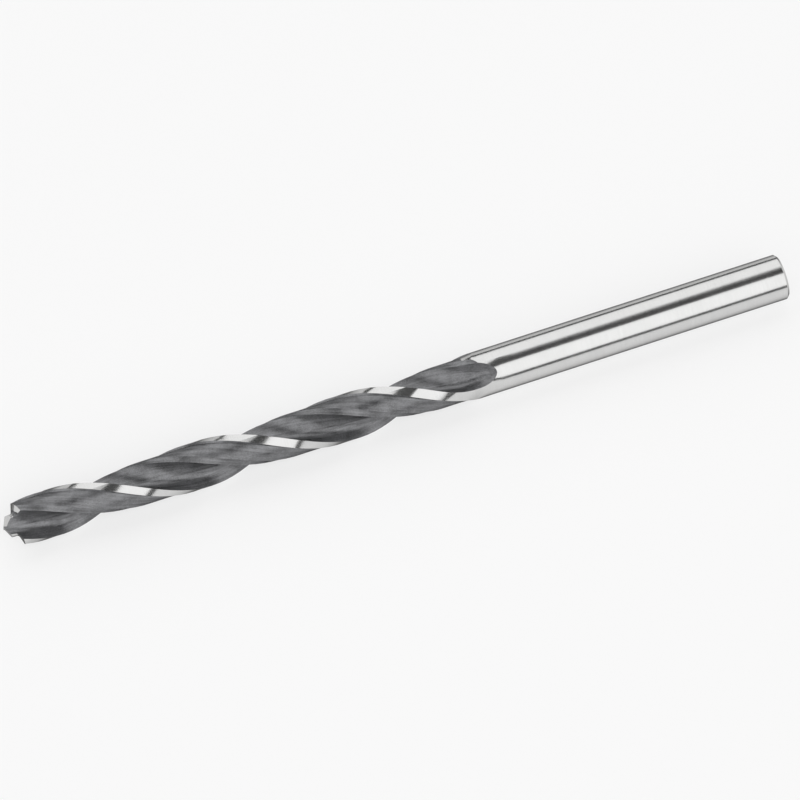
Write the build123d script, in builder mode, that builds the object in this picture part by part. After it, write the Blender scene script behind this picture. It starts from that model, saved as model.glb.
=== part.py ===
from build123d import *
from math import cos, radians, sin, sqrt, tan
import os

# Twist drill bit for metal: a two-flute, right-hand drill ground from one bar of high-speed steel.
# It lies along X on the plane z = 0, with its point towards -X and its plain shank towards +X.
# The origin is on that plane, under the middle of the bit.
# "Depth" is the distance along the axis from the very tip. "Trail" is the angle around the axis,
# measured from a cutting edge backwards over its own land, so a flute lies at negative trail.

# ---- driving dimensions, in millimetres and degrees; a "share" is a share of the radius ----
DIAMETER = 4.9
OVERALL_LENGTH = 86.0
SHANK_DIAMETER = 4.87       # the body tapers back to this, so that its margins don't rub in the hole
SHANK_LENGTH = 30.0
LEAD = 32.5                 # axial length of one full turn of the flutes
EDGE_AT_TIP = 142.4         # direction of the first cutting edge at the tip, from +Y towards +Z
END_CHAMFER = 0.25

FACE_HOOK = 12.0            # lean of the cutting face back from a straight radius
FACE_AT_TIP = 0.44          # share taken by that flat face; the core thickens as the face narrows
FACE_AT_SHANK = 0.35
GULLET_SIZE = 0.36          # share that is the radius of the round next to the face
GULLET_TURN = 66.0          # how far the wall turns around it, before it rises hollow to the heel
HEEL_SHARE = 0.83           # the back edge of each land, lower than the margin
HEEL_TRAIL = 94.5
HEEL_LEAN = 2.5             # how far the wall leans over from there out to the bar's surface
FLUTE_MIDDLE = -50.0        # direction of the middle of a flute

MARGIN_AT_TIP = 20.0        # width of the narrow ground band behind each cutting edge
MARGIN_AT_SHANK = 25.5
CLEARANCE_SHARE = 0.905     # the land behind the margin is cut back to this
CLEARANCE_TRAIL = 60.0      # direction of the middle of that cut
WALL_LEAN = 3.0             # lean of the low wall between margin and clearance
RIDGE_TRAIL = 76.0          # where the land starts to fall away to its heel

WHEEL_PATH = 8.0            # radius along which a wheel lifts out at the shank end of its cut
FLUTE_RUNOUT = 47.8         # depth at which the flute wheel starts to lift
FLUTE_LIFT = -105.0         # direction in which it lifts
FLUTE_END = 54.6            # depth at which it is clear of the bar
CLEARANCE_RUNOUT = 49.65    # the same three for the wheel that cuts the clearance
CLEARANCE_LIFT = 93.0
CLEARANCE_END = 53.5

PILOT_RADIUS = 1.2          # the small stepped point
PILOT_CAM = 0.08            # fall of the pilot's side over a quarter turn
POINT_SLOPE = 24.7          # flank behind each pilot lip
POINT_TRAIL = 33.8          # direction in which that flank falls away
NOTCH_SLOPE = 43.0          # steep facet that splits the point
NOTCH_TRAIL = 107.0
NOTCH_REACH = 0.1           # how far the notch passes the axis
NOTCH_LENGTH = 1.7          # how far it runs down and out
NOTCH_FLARE = 0.57          # how much farther past the axis it reaches at its foot
STEP_DEPTH = 1.52           # depth of the outer corner of each main lip
STEP_SLOPE = 16.0           # backward slope of the main lips
STEP_FILLET = 0.3
STEP_CAM = 0.32             # fall of the flank behind a main lip over a quarter turn
FLANK_FROM = -30.0          # directions, from the lip, between which that flank is ground
FLANK_TO = 150.0
HEEL_BEVEL = 30.0           # steeper facet at the back of that flank
HEEL_BEVEL_WIDTH = 1.0      # how far it reaches inwards

RADIUS = DIAMETER / 2
SHANK_RADIUS = SHANK_DIAMETER / 2
STANDING = (Align.CENTER, Align.CENTER, Align.MIN)
BODY_LENGTH = OVERALL_LENGTH - SHANK_LENGTH
SIDES = (0, 180)            # the two flutes and lands stand half a turn apart
FRONT = -0.5                # a depth clear of the tip
JUST_OUTSIDE = 1.05         # shares clear of the bar
OUTSIDE = 1.35
SPARE = 0.8                 # length by which a cutter stands out past the bar
PAST_HEEL = 0.2             # length by which the clearance cut opens into the flute
SECTION_STEP = LEAD / 16    # distance between the sections of a helical cutter
FLANK_STEP = 30.0           # angle between the sections of the cutter around the pilot
FACET_SIZE = 2 * DIAMETER   # larger than any facet of the point


# ---- places ----
def around(angle):
    """Unit vector that stands off the axis at this angle, from +Y towards +Z."""
    return Vector(0, cos(radians(angle)), sin(radians(angle)))


def on_axis(depth):
    return Vector(depth - OVERALL_LENGTH / 2, 0, RADIUS)


def edge_angle(depth, side):
    """Direction of a cutting edge; it turns right-handed with depth."""
    return EDGE_AT_TIP + side + 360 * depth / LEAD


def across(depth, side):
    """Plane across the bit, with local X through a cutting edge and local Y over its land."""
    return Plane(on_axis(depth), x_dir=around(edge_angle(depth, side)), z_dir=(1, 0, 0))


def half_plane(angle):
    """Plane along the axis: local X is the depth, local Y the distance from the axis."""
    return Plane(on_axis(0), x_dir=(1, 0, 0), z_dir=around(angle + 90))


def spot(share, trail):
    """Point of a cross-section."""
    return Vector(RADIUS * share, 0).rotate(Axis.Z, trail)


def evenly(first, last, step):
    """Numbers from first to last, about a step apart."""
    count = round((last - first) / step)
    return [first + (last - first) * index / count for index in range(count + 1)]


# ---- the paths of the wheels ----
def along_flute(at_tip, at_shank, depth):
    """Value that changes evenly from the tip to where the flutes run out."""
    return at_tip + (at_shank - at_tip) * min(max(depth / FLUTE_RUNOUT, 0), 1)


def wheel_lift(depth, start, trail):
    """How far a wheel has moved out of the bar towards this trail."""
    run = max(depth - start, 0)
    return Vector(WHEEL_PATH - sqrt(WHEEL_PATH**2 - run**2), 0).rotate(Axis.Z, trail)


def flute_cutter(side):
    """Everything that the flute wheel removes: flat cutting face, round gullet, hollow heel wall."""
    inwards = Vector(-1, 0).rotate(Axis.Z, -FACE_HOOK)
    with BuildPart() as cutter:
        for depth in evenly(FRONT, FLUTE_END, SECTION_STEP):
            lift = wheel_lift(depth, FLUTE_RUNOUT, FLUTE_LIFT)
            edge = spot(1, 0) + lift
            wall_top = spot(JUST_OUTSIDE, HEEL_TRAIL + HEEL_LEAN - 180) + lift
            face_width = RADIUS * along_flute(FACE_AT_TIP, FACE_AT_SHANK, depth)
            with BuildSketch(across(depth, side)):
                with BuildLine():
                    face = Line(edge - inwards * SPARE, edge + inwards * face_width)
                    gullet = JernArc(face @ 1, inwards, RADIUS * GULLET_SIZE, GULLET_TURN)
                    TangentArc(gullet @ 1, wall_top, tangent=gullet % 1)
                    Polyline(wall_top, spot(2 * OUTSIDE, FLUTE_MIDDLE) + lift, face @ 0)
                make_face()
        loft()
    return cutter.part


def clearance_cutter(side):
    """What is cut off one land behind its margin, down to the heel."""
    with BuildPart() as cutter:
        for depth in evenly(FRONT, CLEARANCE_END, SECTION_STEP):
            lift = wheel_lift(depth, CLEARANCE_RUNOUT, CLEARANCE_LIFT)
            margin = along_flute(MARGIN_AT_TIP, MARGIN_AT_SHANK, depth)
            top = spot(1, margin) + lift
            foot = spot(CLEARANCE_SHARE, margin + WALL_LEAN) + lift
            middle = spot(CLEARANCE_SHARE, (margin + RIDGE_TRAIL) / 2) + lift
            ridge = spot(CLEARANCE_SHARE, RIDGE_TRAIL) + lift
            heel = spot(HEEL_SHARE, HEEL_TRAIL) + lift
            with BuildSketch(across(depth, side)):
                with BuildLine():
                    wall = Line(foot + (top - foot).normalized() * SPARE, foot)
                    ThreePointArc(foot, middle, ridge)
                    slope = Line(ridge, heel + (heel - ridge).normalized() * PAST_HEEL)
                    behind = spot(OUTSIDE, HEEL_TRAIL + HEEL_LEAN) + lift
                    above = spot(2 * OUTSIDE, CLEARANCE_TRAIL) + lift
                    Polyline(slope @ 1, behind, above, wall @ 0)
                make_face()
        loft()
    return cutter.part


# ---- the ground point ----
def step_cutter(side):
    """Leaves the pilot standing and forms one main lip, with a flank that falls away behind it."""
    lip = edge_angle(STEP_DEPTH, side)
    with BuildPart() as cutter:
        for trail in evenly(FLANK_FROM, FLANK_TO, FLANK_STEP):
            fall = trail / 90
            wall = PILOT_RADIUS - PILOT_CAM * max(fall, 0)
            bend = STEP_DEPTH + STEP_CAM * fall - (RADIUS - wall) * tan(radians(STEP_SLOPE))
            bend -= STEP_FILLET * tan(radians((90 - STEP_SLOPE) / 2))
            with BuildSketch(half_plane(lip + trail)):
                with BuildLine():
                    pilot = Line((FRONT, wall), (bend, wall))
                    corner = JernArc(pilot @ 1, (1, 0), STEP_FILLET, 90 - STEP_SLOPE)
                    flank = PolarLine(corner @ 1, RADIUS * OUTSIDE, direction=corner % 1)
                    Polyline(flank @ 1, (FRONT, (flank @ 1).Y), pilot @ 0)
                make_face()
        loft()
    return cutter.part


def sloped(angle, slope):
    """Direction that stands off the axis at this angle and leans back along it by the slope."""
    return around(angle) * cos(radians(slope)) + Vector(sin(radians(slope)), 0, 0)


def point_facet(side, trail, slope):
    """Plane of a facet through the tip that falls away towards this trail; +Z is off the steel."""
    fall = edge_angle(0, side) + trail
    return Plane(on_axis(0), x_dir=around(fall + 90), z_dir=around(fall + 90).cross(sloped(fall, slope)))


def heel_facet(side):
    """Plane of the bevel behind a main flank, from its ridge down to the heel."""
    ridge = edge_angle(STEP_DEPTH, side) + RIDGE_TRAIL
    corner = on_axis(STEP_DEPTH + STEP_CAM * RIDGE_TRAIL / 90) + around(ridge) * RADIUS
    inwards = -sloped(ridge, STEP_SLOPE)
    return Plane(corner, x_dir=inwards, z_dir=inwards.cross(sloped(ridge + 90, HEEL_BEVEL)))


# ---- the bit ----
with BuildPart() as drill_bit:
    with Locations(Plane(on_axis(0), z_dir=(1, 0, 0))):
        Cone(RADIUS, SHANK_RADIUS, BODY_LENGTH, align=STANDING)
    with Locations(Plane(on_axis(BODY_LENGTH), z_dir=(1, 0, 0))):
        Cylinder(SHANK_RADIUS, SHANK_LENGTH, align=STANDING)
    chamfer(faces().sort_by(Axis.X)[-1].edges(), END_CHAMFER)
    for side in SIDES:
        add(step_cutter(side), mode=Mode.SUBTRACT)
    for side in SIDES:
        with BuildSketch(point_facet(side, POINT_TRAIL, POINT_SLOPE)):
            Rectangle(FACET_SIZE, FACET_SIZE)
        extrude(amount=RADIUS, mode=Mode.SUBTRACT)
    for side in SIDES:
        with BuildSketch(point_facet(side, NOTCH_TRAIL, NOTCH_SLOPE)):
            Polygon(
                (-NOTCH_LENGTH, 0),
                (NOTCH_REACH, 0),
                (NOTCH_REACH + NOTCH_FLARE, NOTCH_LENGTH),
                (-NOTCH_LENGTH, NOTCH_LENGTH),
                align=None,
            )
        extrude(amount=RADIUS, mode=Mode.SUBTRACT)
    for side in SIDES:
        with BuildSketch(heel_facet(side)):
            with Locations((HEEL_BEVEL_WIDTH, 0)):
                Rectangle(FACET_SIZE, RADIUS, align=(Align.MAX, Align.MIN))
        extrude(amount=RADIUS, mode=Mode.SUBTRACT)
    for side in SIDES:
        add(clearance_cutter(side), mode=Mode.SUBTRACT)
        add(flute_cutter(side), mode=Mode.SUBTRACT)

drill_bit.part.label = "drill_bit"
os.makedirs("parts", exist_ok=True)
export_step(drill_bit.part, "parts/drill_bit.step")
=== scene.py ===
from math import cos, pi, radians, sin, tan

import bpy
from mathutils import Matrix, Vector


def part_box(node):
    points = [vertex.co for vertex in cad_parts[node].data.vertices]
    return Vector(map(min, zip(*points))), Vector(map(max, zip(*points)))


# Twist drill bit for metal, lying on a pale table under two long soft lights.
# Lengths are in metres. The bit lies along X with its point towards -X.

# ---- the bit, as the frame gives it ----
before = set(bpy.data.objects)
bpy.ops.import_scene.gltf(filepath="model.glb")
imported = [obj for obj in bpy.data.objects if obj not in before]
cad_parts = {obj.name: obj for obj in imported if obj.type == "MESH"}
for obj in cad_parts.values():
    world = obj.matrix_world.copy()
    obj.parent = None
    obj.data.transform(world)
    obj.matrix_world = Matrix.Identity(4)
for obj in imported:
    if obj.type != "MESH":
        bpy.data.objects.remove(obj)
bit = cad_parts["drill_bit"]
low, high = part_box("drill_bit")
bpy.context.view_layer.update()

TIP_X = low.x
RADIUS = (high.z - low.z) / 2
LEAD = 0.0325                  # length of one turn of a flute

# ---- where the steel is ground bright: depths are from the tip, shares are of the radius ----
MARGIN_SHARE = 0.940           # the margins lie outside this
MARGIN_FACING = (0.93, 0.955)  # and face straight out by more than this
RUNOUT_DEPTH = 0.0505          # from here on the body clearance runs out
RUNOUT_SHARE = 0.920           # and what lies outside this is ground
SHANK_DEPTH = 0.0560           # from here on all of the bit is ground
POINT_DEPTH = 0.0035           # the point's facets lie before this
FACET_FACING = (0.52, 0.58)    # and face the tip by more than this
PILOT_SHARE = 0.44             # the pilot's lands lie outside this
PILOT_FACING = (0.72, 0.80)    # and face out by more than this
PILOT_LENGTH = 0.00130         # here the pilot runs into its fillet
PILOT_END_DEPTH = 0.0010       # the facets on the pilot's end lie before this
STEP_SHARE = 0.62              # the flank of the step lies outside this
BORDER = 0.003                 # half the width, as a share, of the border between steel and oxide

# ---- finishes ----
STEEL = (0.72, 0.72, 0.715)
STEEL_SPREAD = (0.86, 1.06)    # how dark and how pale the wheel's marks make it
STEEL_ROUGHNESS = 0.145
STEEL_EDGE = (0.12, 0.12, 0.12)   # tint that the steel mirrors with at the lowest angles
STEEL_RELIEF = 1.4e-6
OXIDE_DARK = (0.120, 0.121, 0.124)
OXIDE_LIGHT = (0.300, 0.302, 0.311)
OXIDE_METALLIC = 0.80
OXIDE_ROUGHNESS = 0.32
OXIDE_RELIEF = 2.5e-6
ROUGHNESS_SPREAD = 0.12
TABLE_SIZE = 12.0
TABLE_PAINT = (0.90, 0.90, 0.90)
TABLE_CLOUDS = 0.99            # how dark the darkest clouds in its paint are
TABLE_ROUGHNESS = 0.9
TABLE_GLOW = 0.68              # share of plain white in what the camera and the steel see of the table

# ---- camera ----
VIEW_AZIMUTH = -20.1
VIEW_ELEVATION = 62.3
VIEW_DISTANCE = 0.678
VIEW_LENS = 294
VIEW_TARGET = Vector((0.0004, 0, RADIUS))

# ---- lights: spans are angles around the bit, from the horizon behind it up over the top ----
LIGHT_DISTANCE = 1.0
LIGHT_LENGTH = 4.0
BACK_SPAN = (14.5, 76.0)
BACK_LEVEL = 1.1
FRONT_SPAN = (103.5, 166.5)
FRONT_LEVEL = 1.22
ROOM_LEVEL = 0.07
ROOM_END_LEVEL = 0.9           # the room is paler towards the two ends of the bit
ROOM_END = (0.80, 0.95)        # share of the way towards an end where it turns pale


# ---- node helpers ----
class Nodes:
    """Short way to place and join shader nodes in one tree."""

    def __init__(self, tree):
        self.tree = tree

    def add(self, kind, **values):
        node = self.tree.nodes.new(kind)
        for name, value in values.items():
            setattr(node, name, value)
        return node

    def group(self, tree):
        return self.add("ShaderNodeGroup", node_tree=tree)

    def join(self, source, target):
        """Link a socket to a target socket, or write a plain value into it."""
        if isinstance(source, bpy.types.NodeSocket):
            self.tree.links.new(source, target)
        else:
            target.default_value = source

    def object_place(self):
        return self.add("ShaderNodeTexCoord").outputs["Object"]

    def split(self, vector):
        """X, Y and Z of a vector."""
        node = self.add("ShaderNodeSeparateXYZ")
        self.join(vector, node.inputs[0])
        return node.outputs["X"], node.outputs["Y"], node.outputs["Z"]

    def vector(self, x, y, z):
        node = self.add("ShaderNodeCombineXYZ")
        for source, socket in zip((x, y, z), node.inputs):
            self.join(source, socket)
        return node.outputs[0]

    def math(self, operation, *inputs):
        node = self.add("ShaderNodeMath", operation=operation)
        for source, socket in zip(inputs, node.inputs):
            self.join(source, socket)
        return node.outputs[0]

    def plus(self, one, other):
        return self.math("ADD", one, other)

    def times(self, one, other):
        return self.math("MULTIPLY", one, other)

    def most(self, one, other):
        return self.math("MAXIMUM", one, other)

    def ramp(self, value, start, end, low=0.0, high=1.0):
        """Value changed smoothly from low at start to high at end."""
        node = self.add("ShaderNodeMapRange", interpolation_type="SMOOTHSTEP")
        self.join(value, node.inputs["Value"])
        self.join(start, node.inputs["From Min"])
        self.join(end, node.inputs["From Max"])
        self.join(low, node.inputs["To Min"])
        self.join(high, node.inputs["To Max"])
        return node.outputs["Result"]

    def mix(self, share, one, other, kind="RGBA"):
        node = self.add("ShaderNodeMix", data_type=kind)
        sockets = {s.name: s for s in node.inputs if s.enabled}
        self.join(share, sockets["Factor"])
        self.join(one, sockets["A"])
        self.join(other, sockets["B"])
        return next(s for s in node.outputs if s.enabled)

    def noise(self, vector, scale, detail=2.0, roughness=0.5):
        node = self.add("ShaderNodeTexNoise")
        self.join(vector, node.inputs["Vector"])
        node.inputs["Scale"].default_value = scale
        node.inputs["Detail"].default_value = detail
        node.inputs["Roughness"].default_value = roughness
        return node.outputs["Fac"]


def node_group(name, inputs, outputs):
    """Empty shader group with named float inputs and outputs."""
    tree = bpy.data.node_groups.new(name, "ShaderNodeTree")
    for label, value in inputs.items():
        socket = tree.interface.new_socket(label, in_out="INPUT", socket_type="NodeSocketFloat")
        socket.default_value = value
    for label in outputs:
        tree.interface.new_socket(label, in_out="OUTPUT", socket_type="NodeSocketFloat")
    nodes = Nodes(tree)
    entry = nodes.add("NodeGroupInput")
    leave = nodes.add("NodeGroupOutput")
    return tree, nodes, entry.outputs, leave.inputs


def colour(rgb, level=1.0):
    return (*[c * level for c in rgb], 1)


# ---- the bit's finish ----
def bit_places():
    """Where a spot is on the bit: depth from the tip, distance from the axis, turn, and how it faces."""
    tree, nodes, _, leave = node_group(
        "bit_places", {}, ("Depth", "Distance", "Turn", "Faces Out", "Faces Tip")
    )
    along, across, height = nodes.split(nodes.object_place())
    normal_x, normal_y, normal_z = nodes.split(nodes.add("ShaderNodeNewGeometry").outputs["Normal"])
    up = nodes.math("SUBTRACT", height, RADIUS)
    squares = nodes.plus(nodes.times(across, across), nodes.times(up, up))
    distance = nodes.most(nodes.math("SQRT", squares), 1e-6)
    outwards = nodes.plus(nodes.times(across, normal_y), nodes.times(up, normal_z))
    nodes.join(nodes.math("SUBTRACT", along, TIP_X), leave["Depth"])
    nodes.join(distance, leave["Distance"])
    nodes.join(nodes.math("ARCTAN2", up, across), leave["Turn"])
    nodes.join(nodes.math("DIVIDE", outwards, distance), leave["Faces Out"])
    nodes.join(nodes.times(normal_x, -1.0), leave["Faces Tip"])
    return tree


def grinding_marks():
    """Fine lines left around the bit by the grinding wheel, with soft patches in their shade."""
    around_scale, patch_scale = 260.0, 420.0
    tree, nodes, entry, leave = node_group(
        "grinding_marks", {"Lines Per Metre": 9000.0, "Strength": 1.0}, ("Height", "Shade")
    )
    along, across, height = nodes.split(nodes.object_place())
    place = nodes.vector(
        nodes.times(along, entry["Lines Per Metre"]),
        nodes.times(across, around_scale),
        nodes.times(height, around_scale),
    )
    lines = nodes.noise(place, 1.0, detail=3.0, roughness=0.6)
    patches = nodes.noise(nodes.object_place(), patch_scale, detail=2.0)
    centred = nodes.math("SUBTRACT", lines, 0.5)
    nodes.join(nodes.times(centred, entry["Strength"]), leave["Height"])
    nodes.join(nodes.times(patches, lines), leave["Shade"])
    return tree


def oxide_grain():
    """Speckle of the dark oxide, with faint wheel lines that follow the flutes."""
    line_scale, line_stretch = 4000.0, 0.04
    speckle_scale, cloud_scale = 9500.0, 900.0
    tree, nodes, entry, leave = node_group(
        "oxide_grain", {"Depth": 0.0, "Distance": 0.0, "Turn": 0.0}, ("Height", "Shade")
    )
    twist = nodes.times(entry["Depth"], 2 * pi / LEAD)
    turn = nodes.math("SUBTRACT", entry["Turn"], twist)
    untwisted = nodes.vector(
        nodes.times(entry["Depth"], line_stretch),
        nodes.times(entry["Distance"], nodes.math("COSINE", turn)),
        nodes.times(entry["Distance"], nodes.math("SINE", turn)),
    )
    lines = nodes.noise(untwisted, line_scale, detail=3.0)
    speckle = nodes.noise(nodes.object_place(), speckle_scale, detail=3.0, roughness=0.7)
    clouds = nodes.noise(nodes.object_place(), cloud_scale, detail=2.0)
    shade = nodes.plus(nodes.times(speckle, 0.46), nodes.times(clouds, 0.22))
    shade = nodes.plus(shade, nodes.times(lines, 0.32))
    nodes.join(nodes.ramp(shade, 0.34, 0.66), leave["Shade"])
    nodes.join(nodes.plus(nodes.times(speckle, 0.7), nodes.times(lines, 0.3)), leave["Height"])
    return tree


def ground_bright(nodes, places):
    """Mask of the ground steel: shank, margins, the point's facets and the pilot's lands."""
    depth = places["Depth"]
    share = nodes.math("DIVIDE", places["Distance"], RADIUS)

    shank = nodes.ramp(depth, SHANK_DEPTH - 0.0001, SHANK_DEPTH)
    edge = nodes.ramp(depth, RUNOUT_DEPTH, RUNOUT_DEPTH + 0.0003, MARGIN_SHARE, RUNOUT_SHARE)
    margins = nodes.ramp(nodes.math("SUBTRACT", share, edge), -BORDER, BORDER)
    margins = nodes.times(margins, nodes.ramp(places["Faces Out"], *MARGIN_FACING))

    pilot_end = nodes.ramp(depth, PILOT_END_DEPTH * 1.1, PILOT_END_DEPTH)
    step = nodes.ramp(share, STEP_SHARE, STEP_SHARE * 1.05)
    point = nodes.ramp(depth, POINT_DEPTH, POINT_DEPTH * 0.95)
    facets = nodes.ramp(places["Faces Tip"], *FACET_FACING)
    facets = nodes.times(nodes.times(facets, nodes.most(pilot_end, step)), point)

    lands = nodes.ramp(places["Faces Out"], *PILOT_FACING)
    lands = nodes.times(lands, nodes.ramp(depth, PILOT_LENGTH, PILOT_LENGTH * 0.93))
    lands = nodes.times(lands, nodes.ramp(share, PILOT_SHARE, PILOT_SHARE * 1.03))

    return nodes.most(nodes.most(shank, margins), nodes.most(facets, lands))


def high_speed_steel():
    """Bright ground steel on the shank, margins and point, dark oxide in the flutes and on the lands."""
    material = bpy.data.materials.new("high_speed_steel")
    material.use_nodes = True
    nodes = Nodes(material.node_tree)
    shader = material.node_tree.nodes["Principled BSDF"]
    shader.inputs["Specular Tint"].default_value = colour(STEEL_EDGE)

    places = nodes.group(bit_places()).outputs
    marks = nodes.group(grinding_marks()).outputs
    grain = nodes.group(oxide_grain())
    for name in ("Depth", "Distance", "Turn"):
        nodes.join(places[name], grain.inputs[name])
    grain = grain.outputs
    bright = ground_bright(nodes, places)

    steel = nodes.mix(marks["Shade"], colour(STEEL, STEEL_SPREAD[0]), colour(STEEL, STEEL_SPREAD[1]))
    oxide = nodes.mix(grain["Shade"], colour(OXIDE_DARK), colour(OXIDE_LIGHT))
    nodes.join(nodes.mix(bright, oxide, steel), shader.inputs["Base Color"])
    nodes.join(nodes.mix(bright, OXIDE_METALLIC, 1.0, "FLOAT"), shader.inputs["Metallic"])

    steel_rough = nodes.plus(nodes.times(marks["Shade"], ROUGHNESS_SPREAD), STEEL_ROUGHNESS)
    oxide_rough = nodes.plus(nodes.times(grain["Shade"], ROUGHNESS_SPREAD), OXIDE_ROUGHNESS)
    nodes.join(nodes.mix(bright, oxide_rough, steel_rough, "FLOAT"), shader.inputs["Roughness"])

    bump = nodes.add("ShaderNodeBump")
    bump.inputs["Strength"].default_value = 1.0
    nodes.join(nodes.mix(bright, OXIDE_RELIEF, STEEL_RELIEF, "FLOAT"), bump.inputs["Distance"])
    nodes.join(nodes.mix(bright, grain["Height"], marks["Height"], "FLOAT"), bump.inputs["Height"])
    nodes.join(bump.outputs["Normal"], shader.inputs["Normal"])
    return material


bit.data.materials.clear()
bit.data.materials.append(high_speed_steel())


# ---- table ----
def table_paint():
    """Matt pale paint, partly plain white to the camera and in what the steel mirrors."""
    material = bpy.data.materials.new("table_paint")
    material.use_nodes = True
    nodes = Nodes(material.node_tree)
    shader = material.node_tree.nodes["Principled BSDF"]
    clouds = nodes.noise(nodes.object_place(), 3.0)
    paint = nodes.mix(clouds, colour(TABLE_PAINT, TABLE_CLOUDS), colour(TABLE_PAINT))
    nodes.join(paint, shader.inputs["Base Color"])
    shader.inputs["Roughness"].default_value = TABLE_ROUGHNESS
    shader.inputs["Specular IOR Level"].default_value = 0.0

    rays = nodes.add("ShaderNodeLightPath").outputs
    seen = nodes.most(rays["Is Camera Ray"], rays["Is Glossy Ray"])
    seen = nodes.most(seen, rays["Is Transmission Ray"])
    white = nodes.add("ShaderNodeEmission")
    blend = nodes.add("ShaderNodeMixShader")
    nodes.join(nodes.times(seen, TABLE_GLOW), blend.inputs[0])
    nodes.join(shader.outputs[0], blend.inputs[1])
    nodes.join(white.outputs[0], blend.inputs[2])
    nodes.join(blend.outputs[0], material.node_tree.nodes["Material Output"].inputs["Surface"])
    return material


def pale_table():
    """Wide pale table under the bit."""
    bpy.ops.mesh.primitive_plane_add(size=TABLE_SIZE)
    table = bpy.context.object
    table.name = "table"
    table.data.materials.append(table_paint())
    return table


pale_table()


# ---- lights and room ----
def soft_light(name, span, level):
    """Long soft light parallel to the bit that fills one span of angles around it."""
    middle = radians(sum(span) / 2)
    width = 2 * LIGHT_DISTANCE * tan(radians(span[1] - span[0]) / 2)
    lamp = bpy.data.lights.new(name, "AREA")
    lamp.shape = "RECTANGLE"
    lamp.size = LIGHT_LENGTH
    lamp.size_y = width
    lamp.energy = level * pi * LIGHT_LENGTH * width
    holder = bpy.data.objects.new(name, lamp)
    bpy.context.scene.collection.objects.link(holder)
    out = Vector((0, cos(middle), sin(middle)))
    holder.location = VIEW_TARGET + out * LIGHT_DISTANCE
    holder.rotation_mode = "QUATERNION"
    holder.rotation_quaternion = out.to_track_quat("Z", "Y")
    return holder


def room():
    """Dim room with pale ends, so that the ends of the bit have something to mirror."""
    world = bpy.data.worlds.new("room")
    world.use_nodes = True
    nodes = Nodes(world.node_tree)
    along, _, _ = nodes.split(nodes.add("ShaderNodeTexCoord").outputs["Generated"])
    level = nodes.ramp(nodes.math("ABSOLUTE", along), *ROOM_END, ROOM_LEVEL, ROOM_END_LEVEL)
    background = world.node_tree.nodes["Background"]
    background.inputs["Color"].default_value = (1, 1, 1, 1)
    nodes.join(level, background.inputs["Strength"])
    return world


soft_light("back_light", BACK_SPAN, BACK_LEVEL)
soft_light("front_light", FRONT_SPAN, FRONT_LEVEL)
bpy.context.scene.world = room()


# ---- camera ----
def camera():
    azimuth, elevation = radians(VIEW_AZIMUTH), radians(VIEW_ELEVATION)
    back = Vector((sin(azimuth) * cos(elevation), -cos(azimuth) * cos(elevation), sin(elevation)))
    lens = bpy.data.cameras.new("camera")
    lens.lens = VIEW_LENS
    lens.sensor_width = 36
    lens.clip_start = 0.05
    lens.clip_end = 50
    holder = bpy.data.objects.new("camera", lens)
    bpy.context.scene.collection.objects.link(holder)
    holder.location = VIEW_TARGET + back * VIEW_DISTANCE
    holder.rotation_mode = "QUATERNION"
    holder.rotation_quaternion = (-back).to_track_quat("-Z", "Y")
    return holder


bpy.context.scene.camera = camera()
bpy.context.scene.view_settings.view_transform = "Standard"
